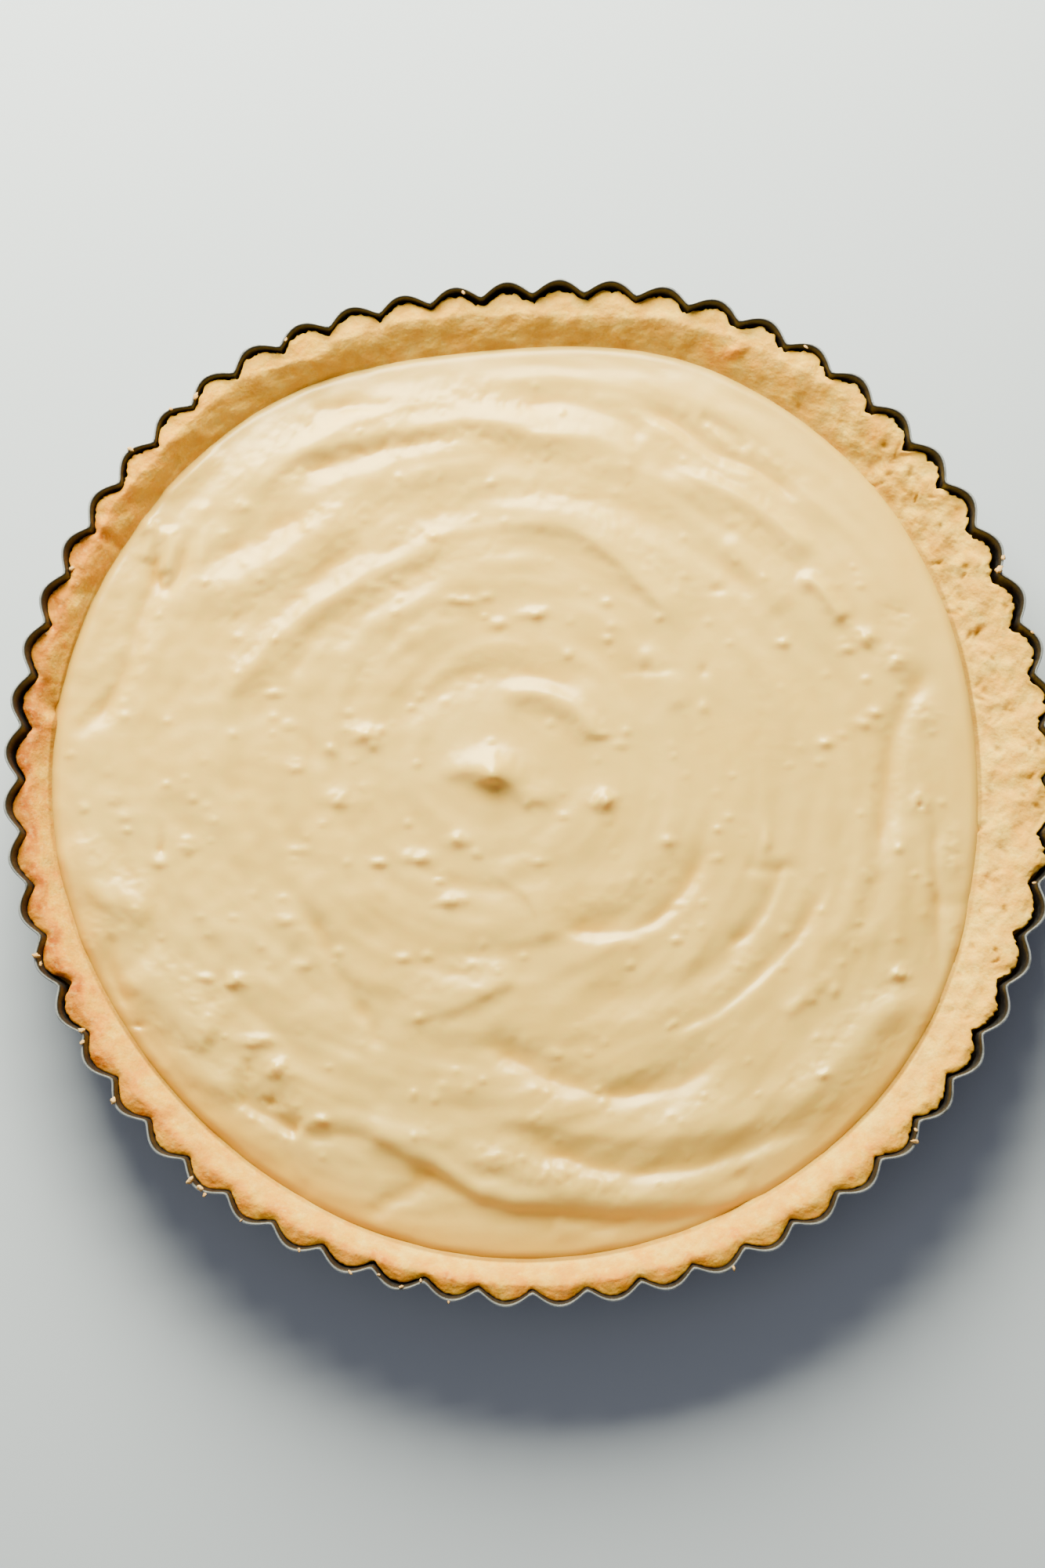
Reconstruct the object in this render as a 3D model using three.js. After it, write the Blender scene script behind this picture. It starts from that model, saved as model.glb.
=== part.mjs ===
// A custard tart, set and served in its baking tin: a fluted tin, the shortcrust case that lines it and
// the swirled custard that fills the case.
// Millimetres, +Z up, +X to the right, +Y to the back. The origin is on the underside, below the middle
// of the tin's outline. Angles are in degrees, counterclockwise from +X.
import * as THREE from 'three';

// --- Driving dimensions -----------------------------------------------------------------------------

const tinRadius = 120;             // outside of the rim, on the crests of the flutes
const tinHeight = 26;
const tinFlare = 8;                // how much wider in radius the rim is than the base
const tinSheet = 0.8;
const tinHeelHeight = 2.5;         // rounding between wall and base
const fluteCount = 60;
const fluteFacets = 5;
const firstCrestAngle = 3;
const rimFluteDepth = 2.9;         // crest to valley
const baseFluteDepth = 1.6;
const tinDent = { angle: 96, halfWidth: 33, depth: 3.9 };   // pushed in, most at the rim

const liningGap = 0.4;             // between the tin and the pastry, and the pastry and the custard
const crustHeight = 24.3;
const crustUnevenness = 0.45;
const crustEdgeRounding = 1.6;
const crustCrownInset = 4.2;       // from the tin's crests to the highest part of the pastry rim
const pastryFloor = 4;
const wallFootInset = 5;           // how much narrower the filling is at the floor than at its edge

const fillingRadius = 107.7;
const fillingCentre = { x: -2.3, y: -1.1 };
const fillingEdgeHeight = 18.6;
const fillingHeight = 20.3;
const fillingSteps = 75;
const fillingRings = 12;
const crustBulges = [              // stretches where the pastry is thicker and the filling is narrower
  { angle: 96, halfWidth: 33, depth: 4.4 },
  { angle: 1, halfWidth: 45, depth: 3.6 },
  { angle: -139, halfWidth: 50, depth: 2.5 },
];
const swirlCentre = { x: -7, y: 4 };
const swirlSpacing = 27;           // from ridge to ridge of the spiral
const swirlRidge = 0.8;
const swirlShoulder = 14;          // width over which the filling falls to its edge
const peakHeight = 1.5;
const peakRadius = 8;

// --- Shared shapes ----------------------------------------------------------------------------------

// 1 at a centre angle, falling smoothly to 0 at halfWidth degrees to either side of it.
function swell(angle, { angle: centre, halfWidth }) {
  const away = Math.abs(THREE.MathUtils.euclideanModulo(angle - centre + 180, 360) - 180);
  return away < halfWidth ? Math.cos((away / halfWidth) * (Math.PI / 2)) ** 2 : 0;
}

// 0 on the crest of a flute and 1 in the valley, where two rounded flutes meet.
function fluteFall(angle) {
  const flutes = ((angle - firstCrestAngle) * fluteCount) / 360;
  return 1 - Math.abs(Math.cos(Math.PI * flutes));
}

// Turns an outline about Z that may differ at every angle. section(angle) lists the outline's points,
// from the axis below to the axis above, as { radius, height, centre }, with centre where it isn't the axis.
function turned(section, steps) {
  const outline = section(0).map(({ radius, height }) => new THREE.Vector2(radius, height));
  const geometry = new THREE.LatheGeometry(outline, steps);
  const { position } = geometry.attributes;
  for (let step = 0; step <= steps; step += 1) {
    const angle = (360 * (step % steps)) / steps;
    const direction = THREE.MathUtils.degToRad(angle);
    section(angle).forEach(({ radius, height, centre = { x: 0, y: 0 } }, place) => {
      const x = centre.x + radius * Math.cos(direction);
      const y = centre.y + radius * Math.sin(direction);
      position.setXYZ(step * outline.length + place, x, y, height);
    });
  }
  geometry.computeVertexNormals();
  return geometry;
}

function piece(name, geometry, color, roughness, metalness) {
  const mesh = new THREE.Mesh(geometry, new THREE.MeshStandardMaterial({ color, roughness, metalness }));
  mesh.name = name;
  return mesh;
}

// --- Tin --------------------------------------------------------------------------------------------

// Pressed from one dark coated sheet: a flat base and a flaring wall, with flutes that deepen to the rim.
function tinCrest(angle, height) {
  const rise = height / tinHeight;
  return tinRadius - tinFlare * (1 - rise) - tinDent.depth * rise * swell(angle, tinDent);
}

function tinOutside(angle, height) {
  const depth = THREE.MathUtils.lerp(baseFluteDepth, rimFluteDepth, height / tinHeight);
  return tinCrest(angle, height) - depth * fluteFall(angle);
}

function tinInside(angle, height) {
  return tinOutside(angle, height) - tinSheet;
}

function tinSection(angle) {
  return [
    { radius: 0, height: 0 },
    { radius: tinOutside(angle, 0) - tinHeelHeight, height: 0 },
    { radius: tinOutside(angle, tinHeelHeight), height: tinHeelHeight },
    { radius: tinOutside(angle, tinHeight), height: tinHeight },
    { radius: tinInside(angle, tinHeight), height: tinHeight },
    { radius: tinInside(angle, tinHeelHeight), height: tinHeelHeight },
    { radius: tinInside(angle, 0) - tinHeelHeight, height: tinSheet },
    { radius: 0, height: tinSheet },
  ];
}

// --- Pastry case ------------------------------------------------------------------------------------

// The outline of the filling, about its own centre.
function fillingEdge(angle) {
  const pinch = crustBulges.reduce((sum, bulge) => sum + bulge.depth * swell(angle, bulge), 0);
  return fillingRadius - pinch;
}

// The rim was pressed by hand, so its height wanders in two slow waves.
function crustTop(angle) {
  const around = THREE.MathUtils.degToRad(angle);
  return crustHeight + (crustUnevenness / 2) * (Math.sin(3 * around + 1) + Math.sin(11 * around));
}

function caseSection(angle) {
  const top = crustTop(angle);
  const underside = tinSheet + liningGap;
  const outerEdge = tinInside(angle, top - crustEdgeRounding) - liningGap;
  const edge = fillingEdge(angle) + liningGap;
  return [
    { radius: 0, height: underside },
    { radius: tinInside(angle, 0) - tinHeelHeight - liningGap, height: underside },
    { radius: tinInside(angle, tinHeelHeight) - liningGap, height: tinHeelHeight + liningGap },
    { radius: outerEdge, height: top - crustEdgeRounding },
    { radius: outerEdge - crustEdgeRounding / 4, height: top - crustEdgeRounding / 4 },
    { radius: tinCrest(angle, crustHeight) - crustCrownInset, height: top },
    { radius: edge, height: fillingEdgeHeight, centre: fillingCentre },
    { radius: edge - wallFootInset, height: pastryFloor + underside, centre: fillingCentre },
    { radius: 0, height: pastryFloor + underside, centre: fillingCentre },
  ];
}

// --- Custard ----------------------------------------------------------------------------------------

// One spiral stroke of the spatula: a ridge that winds outwards once a turn, flattening towards the
// edge, and a small peak in the middle where the spatula was lifted off.
function fillingTop(angle, radius) {
  const direction = THREE.MathUtils.degToRad(angle);
  const x = fillingCentre.x + radius * Math.cos(direction) - swirlCentre.x;
  const y = fillingCentre.y + radius * Math.sin(direction) - swirlCentre.y;
  const reach = Math.hypot(x, y);
  const winding = (2 * Math.PI * reach) / swirlSpacing - Math.atan2(y, x);
  const peak = peakHeight * Math.max(0, 1 - reach / peakRadius);
  const shoulder = Math.min(1, (fillingEdge(angle) - radius) / swirlShoulder);
  const fall = (fillingHeight - fillingEdgeHeight) * (1 - shoulder) ** 2;
  return fillingHeight - fall + peak + swirlRidge * shoulder * Math.cos(winding) * Math.min(1, reach / swirlSpacing);
}

function custardSection(angle) {
  const edge = fillingEdge(angle);
  const underside = tinSheet + liningGap + pastryFloor + liningGap;
  const rings = Array.from({ length: fillingRings }, (_, ring) => {
    const radius = edge * (1 - ring / fillingRings);
    return { radius, height: fillingTop(angle, radius), centre: fillingCentre };
  });
  return [
    { radius: 0, height: underside, centre: fillingCentre },
    { radius: edge - wallFootInset, height: underside, centre: fillingCentre },
    ...rings,
    { radius: 0, height: fillingTop(0, 0), centre: fillingCentre },
  ];
}

// --- The tart ---------------------------------------------------------------------------------------

const rimSteps = fluteCount * fluteFacets;
const tart = new THREE.Group();
tart.add(
  piece('tin', turned(tinSection, rimSteps), 0x2b2b2e, 0.45, 0.4),
  piece('pastry_case', turned(caseSection, rimSteps), 0xe2b878, 0.85, 0),
  piece('custard', turned(custardSection, fillingSteps), 0xeedcb2, 0.35, 0),
);

// The dent makes the outline lopsided, so the whole is shifted until the origin is under its middle.
const middle = new THREE.Box3().setFromObject(tart).getCenter(new THREE.Vector3());
tart.position.set(-middle.x, -middle.y, 0);

export default tart;
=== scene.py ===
"""A custard tart, still in the fluted tin it was baked in: a dented dark tin, the shortcrust case that
lines it, the custard spread in the case with a spatula, and the crumbs that fell on the rim.

Lengths are in metres, written as so many mm. Angles are in degrees, counterclockwise from +X; the front
of the tart is at -90 and its back, where the rim is pushed in, at 90.
"""
import math
import random
import bmesh
import bpy
import numpy as np
from mathutils import Matrix, Vector, noise


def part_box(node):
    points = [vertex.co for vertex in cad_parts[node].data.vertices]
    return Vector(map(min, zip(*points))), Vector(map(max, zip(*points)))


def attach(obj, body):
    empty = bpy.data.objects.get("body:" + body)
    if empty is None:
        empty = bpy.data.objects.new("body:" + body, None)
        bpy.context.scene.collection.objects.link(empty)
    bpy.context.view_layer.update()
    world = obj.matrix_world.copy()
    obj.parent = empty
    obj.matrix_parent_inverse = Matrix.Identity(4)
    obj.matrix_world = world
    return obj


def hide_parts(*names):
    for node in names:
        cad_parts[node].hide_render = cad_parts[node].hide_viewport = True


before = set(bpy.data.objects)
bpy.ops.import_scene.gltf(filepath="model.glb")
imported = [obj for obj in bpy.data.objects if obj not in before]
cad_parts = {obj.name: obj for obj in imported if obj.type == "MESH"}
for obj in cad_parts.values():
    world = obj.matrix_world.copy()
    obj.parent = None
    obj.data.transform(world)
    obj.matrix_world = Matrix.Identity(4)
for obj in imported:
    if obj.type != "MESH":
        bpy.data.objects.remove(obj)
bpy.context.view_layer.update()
mm = 0.001

# --- Tin ------------------------------------------------------------------------------------------------
# Pressed from one sheet of dark non-stick coated steel: a flat base and a flaring wall of 60 flutes that
# deepen to the rim. The cut edge is rubbed bright where the coating wore off, and is painted lighter still
# as a highlight all round. The back of the rim is pushed in by about 4 mm.

# The dent moves the middle of the tin's box, so the axis is measured from the front, which is round.
tin_low, tin_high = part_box("tin")
tin_axis_y = tin_low[1] + tin_high[0]
tin_height = tin_high[2]
tin_radius = 120 * mm
tin_flare = 8 * mm
tin_sheet = 0.8 * mm
heel_rounding = 2.5 * mm
flutes = 60
first_crest = 3
crest_roundness = 0.16
rim_flute_depth = 2.9 * mm
base_flute_depth = 1.6 * mm
dent_angle = 96
dent_half_width = 33
dent_depth = 3.9 * mm
facets_to_a_flute = 16
weld_distance = 0.001 * mm


def swell(angle, centre, half_width):
    """1 at the centre angle, falling smoothly to 0 at half_width degrees to either side."""
    away = np.abs((angle - centre + 180) % 360 - 180)
    return np.where(away < half_width, np.cos(away / half_width * math.pi / 2) ** 2, 0.0)


def flute_fall(angle):
    """0 on the crest of a flute and 1 in the narrow valley between two flutes."""
    across = np.cos(math.pi * (angle - first_crest) * flutes / 360)
    deepest = math.hypot(1, crest_roundness) - crest_roundness
    return 1 - (np.hypot(across, crest_roundness) - crest_roundness) / deepest


def tin_crest(angle, height):
    """The radius of the tin outside, over the crests of its flutes."""
    rise = height / tin_height
    return tin_radius - tin_flare * (1 - rise) - dent_depth * rise * swell(angle, dent_angle, dent_half_width)


def tin_outside(angle, height):
    """The radius of the tin outside, in and out of its flutes."""
    depth = base_flute_depth + (rim_flute_depth - base_flute_depth) * height / tin_height
    return tin_crest(angle, height) - depth * flute_fall(angle)


def laid_grid(x, y, z, **marks):
    """A grid with a vertex at each place of the arrays. Each mark is an array too, kept on the vertices."""
    last_row = x.shape[0] - 1
    last_column = x.shape[1] - 1
    maker = bmesh.new()
    bmesh.ops.create_grid(maker, x_segments=last_column, y_segments=last_row, size=0.5)
    layers = {mark: maker.verts.layers.float.new(mark) for mark in marks}
    for vert in maker.verts:
        row = round((vert.co.y + 0.5) * last_row)
        column = round((vert.co.x + 0.5) * last_column)
        vert.co = (x[row, column], y[row, column], z[row, column])
        for mark, layer in layers.items():
            vert[layer] = marks[mark][row, column]
    return maker


def wrapped_sheet(name, angles, rows, **marks):
    """A closed body round the tin's axis. rows is a list of (radius, height) at each angle, from the axis
    below to the axis above. Each mark is an array of a value for each row and angle."""
    radius = np.array([np.broadcast_to(row[0], angles.shape) for row in rows])
    height = np.array([np.broadcast_to(row[1], angles.shape) for row in rows])
    parts = {
        "x": radius * np.cos(np.radians(angles)),
        "y": radius * np.sin(np.radians(angles)) + tin_axis_y,
        "z": height,
        **marks,
    }
    maker = laid_grid(**{part: np.column_stack([values, values[:, 0]]) for part, values in parts.items()})
    bmesh.ops.remove_doubles(maker, verts=maker.verts, dist=weld_distance)
    return finished(name, maker)


def finished(name, maker):
    """Makes the object of a bmesh, smooth and with its faces outwards."""
    bmesh.ops.recalc_face_normals(maker, faces=maker.faces)
    for face in maker.faces:
        face.smooth = True
    mesh = bpy.data.meshes.new(name)
    maker.to_mesh(mesh)
    maker.free()
    piece = bpy.data.objects.new(name, mesh)
    bpy.context.scene.collection.objects.link(piece)
    return piece


tin_angles = np.arange(flutes * facets_to_a_flute) * 360 / (flutes * facets_to_a_flute)
heel_turns = np.radians(np.linspace(15, 90, 6))
wall_climbs = np.linspace(heel_rounding * 1.5, tin_height - tin_sheet / 2, 10)
lip_turns = np.radians(np.linspace(30, 150, 5))
base_edge = tin_outside(tin_angles, 0) - heel_rounding

tin_rows = [(0, 0), (base_edge, 0)]
for turn in heel_turns:
    climb = heel_rounding * (1 - math.cos(turn))
    tin_rows.append((tin_outside(tin_angles, climb) - heel_rounding * (1 - math.sin(turn)), climb))
for climb in wall_climbs:
    tin_rows.append((tin_outside(tin_angles, climb), climb))
lip_row = len(tin_rows) - 1
for turn in lip_turns:
    tin_rows.append((
        tin_outside(tin_angles, tin_height) - tin_sheet / 2 * (1 - math.cos(turn)),
        tin_height - tin_sheet / 2 * (1 - math.sin(turn)),
    ))
for climb in wall_climbs[::-1]:
    tin_rows.append((tin_outside(tin_angles, climb) - tin_sheet, climb))
for turn in heel_turns[::-1]:
    climb = tin_sheet + heel_rounding * (1 - math.cos(turn))
    inside = tin_outside(tin_angles, climb) - tin_sheet
    tin_rows.append((inside - heel_rounding * (1 - math.sin(turn)), climb))
tin_rows += [(base_edge, tin_sheet), (0, tin_sheet)]

# How light the rim's edge is painted across its rounding: bare rubbed steel, and a painted highlight.
lip_wear_and_highlight = np.array([0.4, 1, 1, 0.8, 0.15])
rim_wear_and_highlight = np.zeros((len(tin_rows), len(tin_angles)))
rim_wear_and_highlight[lip_row:lip_row + len(lip_wear_and_highlight)] = lip_wear_and_highlight[:, None]
tin = wrapped_sheet("fluted_tin", tin_angles, tin_rows, worn=rim_wear_and_highlight)


def tone(red, green, blue):
    """A colour as it is mixed from 0 to 255, made linear."""
    return tuple(((part / 255 + 0.055) / 1.055) ** 2.4 for part in (red, green, blue)) + (1,)


def new_material(piece, name):
    """A new material on the piece: its nodes, its links and its shader."""
    material = bpy.data.materials.new(name)
    material.use_nodes = True
    piece.data.materials.clear()
    piece.data.materials.append(material)
    tree = material.node_tree
    return tree.nodes, tree.links, tree.nodes["Principled BSDF"]


def mottle_group():
    """Blotches of a chosen size, as a mask from 0 to 1 whose edges lie between Low and High."""
    group = bpy.data.node_groups.new("Mottle", "ShaderNodeTree")
    for name, value in (("Scale", 200), ("Detail", 3), ("Low", 0.4), ("High", 0.6)):
        group.interface.new_socket(name, in_out="INPUT", socket_type="NodeSocketFloat").default_value = value
    group.interface.new_socket("Mask", in_out="OUTPUT", socket_type="NodeSocketFloat")
    nodes, links = group.nodes, group.links
    given = nodes.new("NodeGroupInput")
    result = nodes.new("NodeGroupOutput")
    place = nodes.new("ShaderNodeTexCoord")
    cloud = nodes.new("ShaderNodeTexNoise")
    cut = nodes.new("ShaderNodeMapRange")
    links.new(place.outputs["Object"], cloud.inputs["Vector"])
    links.new(given.outputs["Scale"], cloud.inputs["Scale"])
    links.new(given.outputs["Detail"], cloud.inputs["Detail"])
    links.new(cloud.outputs["Fac"], cut.inputs["Value"])
    links.new(given.outputs["Low"], cut.inputs["From Min"])
    links.new(given.outputs["High"], cut.inputs["From Max"])
    links.new(cut.outputs["Result"], result.inputs["Mask"])
    return group


mottle = mottle_group()


def mottled(nodes, scale, low, high, detail=3):
    """The mottle group placed in a material, with that material's own values."""
    node = nodes.new("ShaderNodeGroup")
    node.node_tree = mottle
    for name, value in (("Scale", scale), ("Detail", detail), ("Low", low), ("High", high)):
        node.inputs[name].default_value = value
    return node.outputs["Mask"]


def marked(nodes, mark):
    """A mark that was kept on the piece's vertices."""
    node = nodes.new("ShaderNodeAttribute")
    node.attribute_name = mark
    return node.outputs["Fac"]


def fed(links, sockets, *given):
    """Gives each socket what is meant for it, which may be a plain value or another socket."""
    for socket, value in zip(sockets, given):
        if isinstance(value, bpy.types.NodeSocket):
            links.new(value, socket)
        else:
            socket.default_value = value


def mixed(nodes, links, share, first, second):
    """The second colour over the first, by the share."""
    node = nodes.new("ShaderNodeMix")
    node.data_type = "RGBA"
    fed(links, (node.inputs[0], node.inputs[6], node.inputs[7]), share, first, second)
    return node.outputs[2]


def weakened(nodes, links, mask, share):
    """A mask multiplied by a share of it."""
    node = nodes.new("ShaderNodeMath")
    node.operation = "MULTIPLY"
    fed(links, node.inputs, mask, share)
    return node.outputs[0]


def ranged(nodes, links, mask, bottom, top):
    """A mask from 0 to 1 brought to bottom..top."""
    node = nodes.new("ShaderNodeMapRange")
    fed(links, (node.inputs["Value"], node.inputs["To Min"], node.inputs["To Max"]), mask, bottom, top)
    return node.outputs["Result"]


def bumped(nodes, links, shader, height, distance):
    """Raises the surface's grain by a height map, up to the distance, on top of any bump already there."""
    node = nodes.new("ShaderNodeBump")
    node.inputs["Distance"].default_value = distance
    links.new(height, node.inputs["Height"])
    if shader.inputs["Normal"].is_linked:
        links.new(shader.inputs["Normal"].links[0].from_socket, node.inputs["Normal"])
    links.new(node.outputs["Normal"], shader.inputs["Normal"])


nodes, links, shader = new_material(tin, "coated steel")
coating = mixed(nodes, links, mottled(nodes, 900, 0.45, 0.7), tone(24, 24, 27), tone(40, 41, 45))
# The rim's edge in the colour of bare rubbed steel, lightened further as a painted highlight.
worn = weakened(nodes, links, marked(nodes, "worn"), mottled(nodes, 220, 0.2, 0.45))
links.new(mixed(nodes, links, worn, coating, tone(158, 166, 182)), shader.inputs["Base Color"])
links.new(ranged(nodes, links, mottled(nodes, 500, 0.3, 0.7), 0.38, 0.55), shader.inputs["Roughness"])
shader.inputs["Metallic"].default_value = 0.25
bumped(nodes, links, shader, mottled(nodes, 2500, 0.3, 0.7), 0.03 * mm)
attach(tin, "root")
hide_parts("tin")

# --- Pastry case ----------------------------------------------------------------------------------------
# Shortcrust, pressed into the flutes by hand, trimmed at the rim, and shrunk a little below it in baking. Its
# edge is a smooth narrow bead at the front and on the left, a wide pitted slope on the right, and a flat
# ledge over a slumped wall at the back.

lining_gap = 0.12 * mm
crust_height = 23.9 * mm
rim_waviness = 0.15 * mm
edge_lean = 0.36
under_rim = crust_height - 5 * mm
pastry_floor_top = 5.2 * mm
custard_edge_height = 18.6 * mm
custard_x = -2.3 * mm
custard_y = -1.1 * mm
custard_radius = 107.7 * mm
thick_stretches = ((96, 33, 4.4), (1, 45, 3.6), (-139, 50, 2.5))
crust_rings = 50
crust_columns = 1500


def custard_edge(angle):
    """How far the custard reaches from its own centre, less where the crust beside it is thick."""
    thicker = sum(depth * mm * swell(angle, centre, half) for centre, half, depth in thick_stretches)
    return custard_radius - thicker


def custard_reach(angle):
    """How far the custard reaches from the tin's axis, in the direction of an angle from there. The angle
    from the custard's own centre is a little different, and settles in a few rounds."""
    turned = angle
    rounds = 3
    for _ in range(rounds):
        reach = custard_edge(turned)
        x = custard_x + reach * np.cos(np.radians(turned))
        y = custard_y + reach * np.sin(np.radians(turned))
        turned = turned + (angle - np.degrees(np.arctan2(y, x)) + 180) % 360 - 180
    return np.hypot(x, y)


def waves(x, y, z, size, depth):
    """Smooth random waves of about one size, from -1 to 1, over arrays of places."""
    shape = np.broadcast(x, y, z).shape
    places = zip(*(np.broadcast_to(part, shape).flat for part in (x, y, z)))
    return np.array([noise.fractal(Vector(place) / size, 0.6, 2.0, depth) for place in places]).reshape(shape)


def crisp(share):
    """0 below 0, 1 above 1, and an even curve between them."""
    share = np.clip(share, 0, 1)
    return share * share * (3 - 2 * share)


angles = np.arange(crust_columns) * 360 / crust_columns
around = np.radians(angles)
round_x = np.cos(around) * tin_radius
round_y = np.sin(around) * tin_radius
at_back = crisp(swell(angles, 90, 88) * 2)
at_right = crisp(swell(angles, 2, 68) * 2)
bead = np.clip(1 - at_back - at_right, 0, 1)

# How high the trimmed edge stands, and how far it has shrunk or broken away from the tin: angle,
# half-angle and mm.
lifts = ((130, 34, 0.9), (57, 18, 0.9), (-78, 30, 0.8), (172, 14, -0.5))
gaps = (
    (-22, 26, 0.95), (24, 13, 0.9), (-107, 12, 0.45), (93, 9, 0.6), (174, 10, 0.8), (-153, 5, 0.4),
    (-156.5, 1.9, 1.6),
)
rim_top = crust_height + rim_waviness * (np.sin(3 * around + 1) + np.sin(11 * around))
for angle, half_angle, lift in lifts:
    rim_top += lift * mm * swell(angles, angle, half_angle)
broken = np.clip(waves(round_x, round_y, 0, 2.2 * mm, 4) + 0.25, 0, 1)
shrunk = (0.32 + 0.672 * (at_back + at_right)) * mm * broken
for angle, half_angle, gap in gaps:
    shrunk += gap * mm * swell(angles, angle, half_angle)
outer_edge = tin_outside(angles, rim_top - 0.4 * mm) - tin_sheet - lining_gap - shrunk
inner_edge = custard_reach(angles)
width = outer_edge - inner_edge
unfluted_edge = tin_crest(angles, rim_top) - tin_sheet - lining_gap - 0.35 * rim_flute_depth

# The section of the rim, as shares of its width: up its rounded outer edge, over the crown, along the
# ledge and down the wall to the custard.
crown = 0.3 + 0.14 * bead - 0.1 * at_right
outer_fall = (0.45 + 0.75 * bead) * mm
uneven = waves(round_x, round_y, 0, 16 * mm, 3)
ledge = 0.3 + 0.1 * at_back - 0.12 * at_right + 0.12 * uneven * (0.3 + at_back)
steepness = 1.55 - 0.2 * at_back - 0.25 * at_right
edge_inward = [0, 0, 0, 0.01, 0.025, 0.045]
edge_below = [3.2, 1.8, 0.55, 0.18, 0.04, 0]
inward = np.concatenate([edge_inward, np.linspace(0.07, 1.07, crust_rings)])[:, None]
below = np.concatenate([edge_below, np.zeros(crust_rings)])[:, None] * mm
crust_radius = outer_edge - inward * width - edge_lean * below
outward_slope = outer_fall * np.clip((crown - inward) / crown, 0, 1) ** 2
way_in = (unfluted_edge - crust_radius) / (unfluted_edge - inner_edge)
down_wall = np.clip((way_in - ledge) / (1 - ledge), 0, 1.3)
slump = (rim_top - custard_edge_height) * (0.1 * np.clip(inward, 0, 1) + 0.9 * down_wall**steepness)
crust_top = rim_top - outward_slope - slump - below
from_edge = inward * width / mm


def spot(angle, depth, half_angle, half_width):
    """1 at an angle and a depth in mm from the crust's outer edge, fading to 0 round there."""
    away = (angles - angle + 180) % 360 - 180
    return np.exp(-((away / half_angle) ** 2) - ((from_edge - depth) / half_width) ** 2)


# Lumps, folds and cracks: angle, depth in from the edge, half-angle, half-width and height in mm.
folds = (
    (170.9, 7.6, 0.9, 3.2, -2.2), (173.4, 6, 1.7, 2.6, 0.9), (168, 4, 1.6, 2.5, -0.4),
    (154.5, 5, 1.7, 3, 0.8), (150, 4.5, 0.7, 3.5, -0.8), (147, 6, 1.6, 3, 0.5), (138, 6.5, 0.7, 3.5, -0.6),
    (141, 5, 1.3, 2.5, 0.5), (134, 7, 1.6, 3, 0.5), (161, 4.5, 2.2, 3, 0.4), (65.3, 6, 1.1, 1.5, 0.9),
    (68.5, 9, 1.6, 2, -0.5), (45.5, 5, 1.2, 2, 0.4), (84, 4, 0.6, 3, -0.4), (89, 5, 2, 2, 0.3),
    (100, 4.5, 1.6, 2, 0.4), (111, 6, 3, 2, 0.3), (-12, 9, 0.7, 0.9, -0.7), (-15.5, 9.4, 0.5, 1.6, -0.6),
    (-5.5, 13, 0.5, 1.5, -0.6), (-29, 7.6, 0.6, 0.8, -0.5), (19, 7, 0.5, 1.4, -0.6),
    (24.5, 10, 1, 1.5, -0.5), (9, 10, 1, 2, -0.3), (31, 6, 1, 1.6, 0.4), (36, 9, 1.4, 2, -0.3),
    (-40, 6, 1, 1.5, 0.3), (2, 5, 1.5, 2, 0.3), (169.6, 5.2, 0.7, 1.6, -0.9), (168.3, 3, 0.7, 1.4, -0.6),
)
for *place, height in folds:
    crust_top += height * mm * spot(*place)

# Pits, thickest on the right.
pits = 64
pit_depth = 0.7 * mm
pit_draw = random.Random(4)
pitted = np.zeros_like(crust_top)
for _ in range(pits):
    turned = (angles - pit_draw.gauss(2, 30) + 180) % 360 - 180
    size = pit_draw.uniform(0.4, 0.85)
    along = np.radians(turned) * tin_radius / mm * pit_draw.uniform(0.5, 1)
    away = np.hypot(along, from_edge - pit_draw.uniform(2, 13))
    pitted = np.maximum(pitted, pit_draw.uniform(0.4, 1) * np.exp(-((away / size) ** 2)))
crust_top -= pit_depth * pitted

# The roughness of the baked crumb in three sizes, kept off the outer edge and the custard's edge.
crust_x = crust_radius * np.cos(around)
crust_y = crust_radius * np.sin(around)
free = np.clip(from_edge / 1.5, 0.15, 1) * np.clip((1.06 - inward) * 6, 0, 1)
lumpy = 0.55 + 0.75 * at_right + 0.45 * at_back + 0.8 * swell(angles, 155, 26)
grainy = 0.5 + 0.5 * at_right + 0.5 * at_back
crust_top += 0.58 * mm * waves(crust_x, crust_y, crust_top, 7 * mm, 2) * lumpy * free
crust_top += 0.15 * mm * waves(crust_x + 1, crust_y, crust_top, 3.2 * mm, 3) * (0.35 + lumpy) * free
grain = waves(crust_x + 2, crust_y, crust_top, 1.1 * mm, 3)
crust_top += 0.045 * mm * grain * grainy * np.clip(free * 2, 0, 1)

# How brown the crust is baked, with painted shade and light in it: most brown on the left and on the outer
# half of the bead, in patches, and more at some spots. The darker outer half and paler inner half are partly
# baked colour and partly painted shade and light, and the wall below the back's ledge has painted shade.
browned_spots = (
    (65.3, 6.2, 1.5, 1.6, 0.5), (67.5, 9, 2, 2, 0.35), (45.5, 5.5, 1.2, 2, 0.3),
    (-156.5, 2, 1.6, 1.6, 0.6), (176, 3, 2.4, 3, 0.35), (170, 3, 2, 2.5, 0.3), (152, 5, 3, 3, 0.25),
    (-177, 3, 2, 3, 0.2), (118, 3, 4, 2, 0.15),
)
browning = 0.14 + 0.56 * swell(angles, 178, 66) + 0.3 * swell(angles, -118, 70) + 0.2 * swell(angles, -60, 50)
# The outer half darker and the inner half paler: partly baked colour, partly painted shade and light.
browning = browning * (1.25 - 0.75 * crisp((inward - 0.3) / 0.4))
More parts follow.
